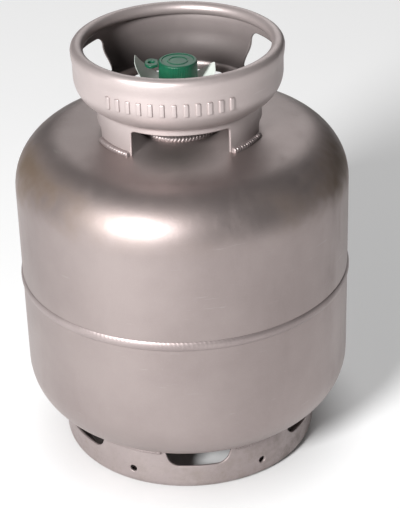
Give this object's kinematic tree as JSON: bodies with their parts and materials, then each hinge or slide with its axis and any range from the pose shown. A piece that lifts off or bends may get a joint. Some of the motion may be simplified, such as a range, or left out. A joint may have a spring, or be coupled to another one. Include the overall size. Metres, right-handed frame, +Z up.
{
  "type": "propane tank",
  "caption": "Upright steel gas cylinder with dished ends, a foot ring, a guard collar with hand-holds and a sealed self-closing valve.",
  "frame": {"origin": "on the ground plane, on the vessel's axis", "axes": "+Z up along the vessel's axis, -Y the front, +X to the right seen from the front"},
  "size_m": [0.3636, 0.3636, 0.4743],
  "materials": {
    "vessel_paint": "satin metallic aluminium paint with light scuffs",
    "collar_paint": "satin metallic aluminium paint",
    "weld_paint": "rippled weld bead under metallic paint",
    "foot_paint": "satin metallic aluminium paint, scuffed at the foot",
    "brass": "machined brass",
    "fusible_metal": "dull grey low-melting metal",
    "spring_steel": "bright wire",
    "black_rubber": "matt",
    "seal_plastic": "semi-gloss green plastic",
    "label_plastic": "milky white plastic sheet"
  },
  "bodies": {
    "cylinder": {"upper_shell": "vessel_paint", "lower_shell": "vessel_paint", "girth_weld": "weld_paint", "collar": "collar_paint", "collar_welds": "weld_paint", "collar_seam_weld": "weld_paint", "foot_ring": "foot_paint", "foot_ring_welds": "weld_paint", "foot_ring_seam_weld": "weld_paint", "valve_flange": "vessel_paint", "flange_weld": "weld_paint", "valve_body": "brass", "valve_bottom_bush": "brass", "outlet_o_ring": "black_rubber", "valve_spring": "spring_steel", "fusible_plug_body": "brass", "fusible_plug_core": "fusible_metal"},
    "plunger": {"valve_plunger": "brass", "plunger_washer": "black_rubber"},
    "seal": {"seal_cap": "seal_plastic"},
    "tab": {"tear_tab": "seal_plastic"},
    "label": {"safety_label": "label_plastic"}
  },
  "joints": [
    {"name": "plunger_slide", "type": "slide", "parent": "cylinder", "child": "plunger", "axis": [0, 0, -1], "range_m": [0, 0.0035], "stiffness_N_per_m": 1200, "springref_m": -0.006, "deforming": ["valve_spring"]},
    {"name": "seal_lift", "type": "slide", "parent": "cylinder", "child": "seal", "axis": [0, 0, 1], "range_m": [0, 0.1]},
    {"name": "tab_hinge", "type": "hinge", "parent": "seal", "child": "tab", "pos_m": [-0.0208, 0, 0.4485], "axis": [0, 1, 0], "range_deg": [0, 85]},
    {"name": "label_swivel", "type": "hinge", "parent": "cylinder", "child": "label", "pos_m": [0, 0, 0.4232], "axis": [0, 0, 1], "continuous": true}
  ]
}
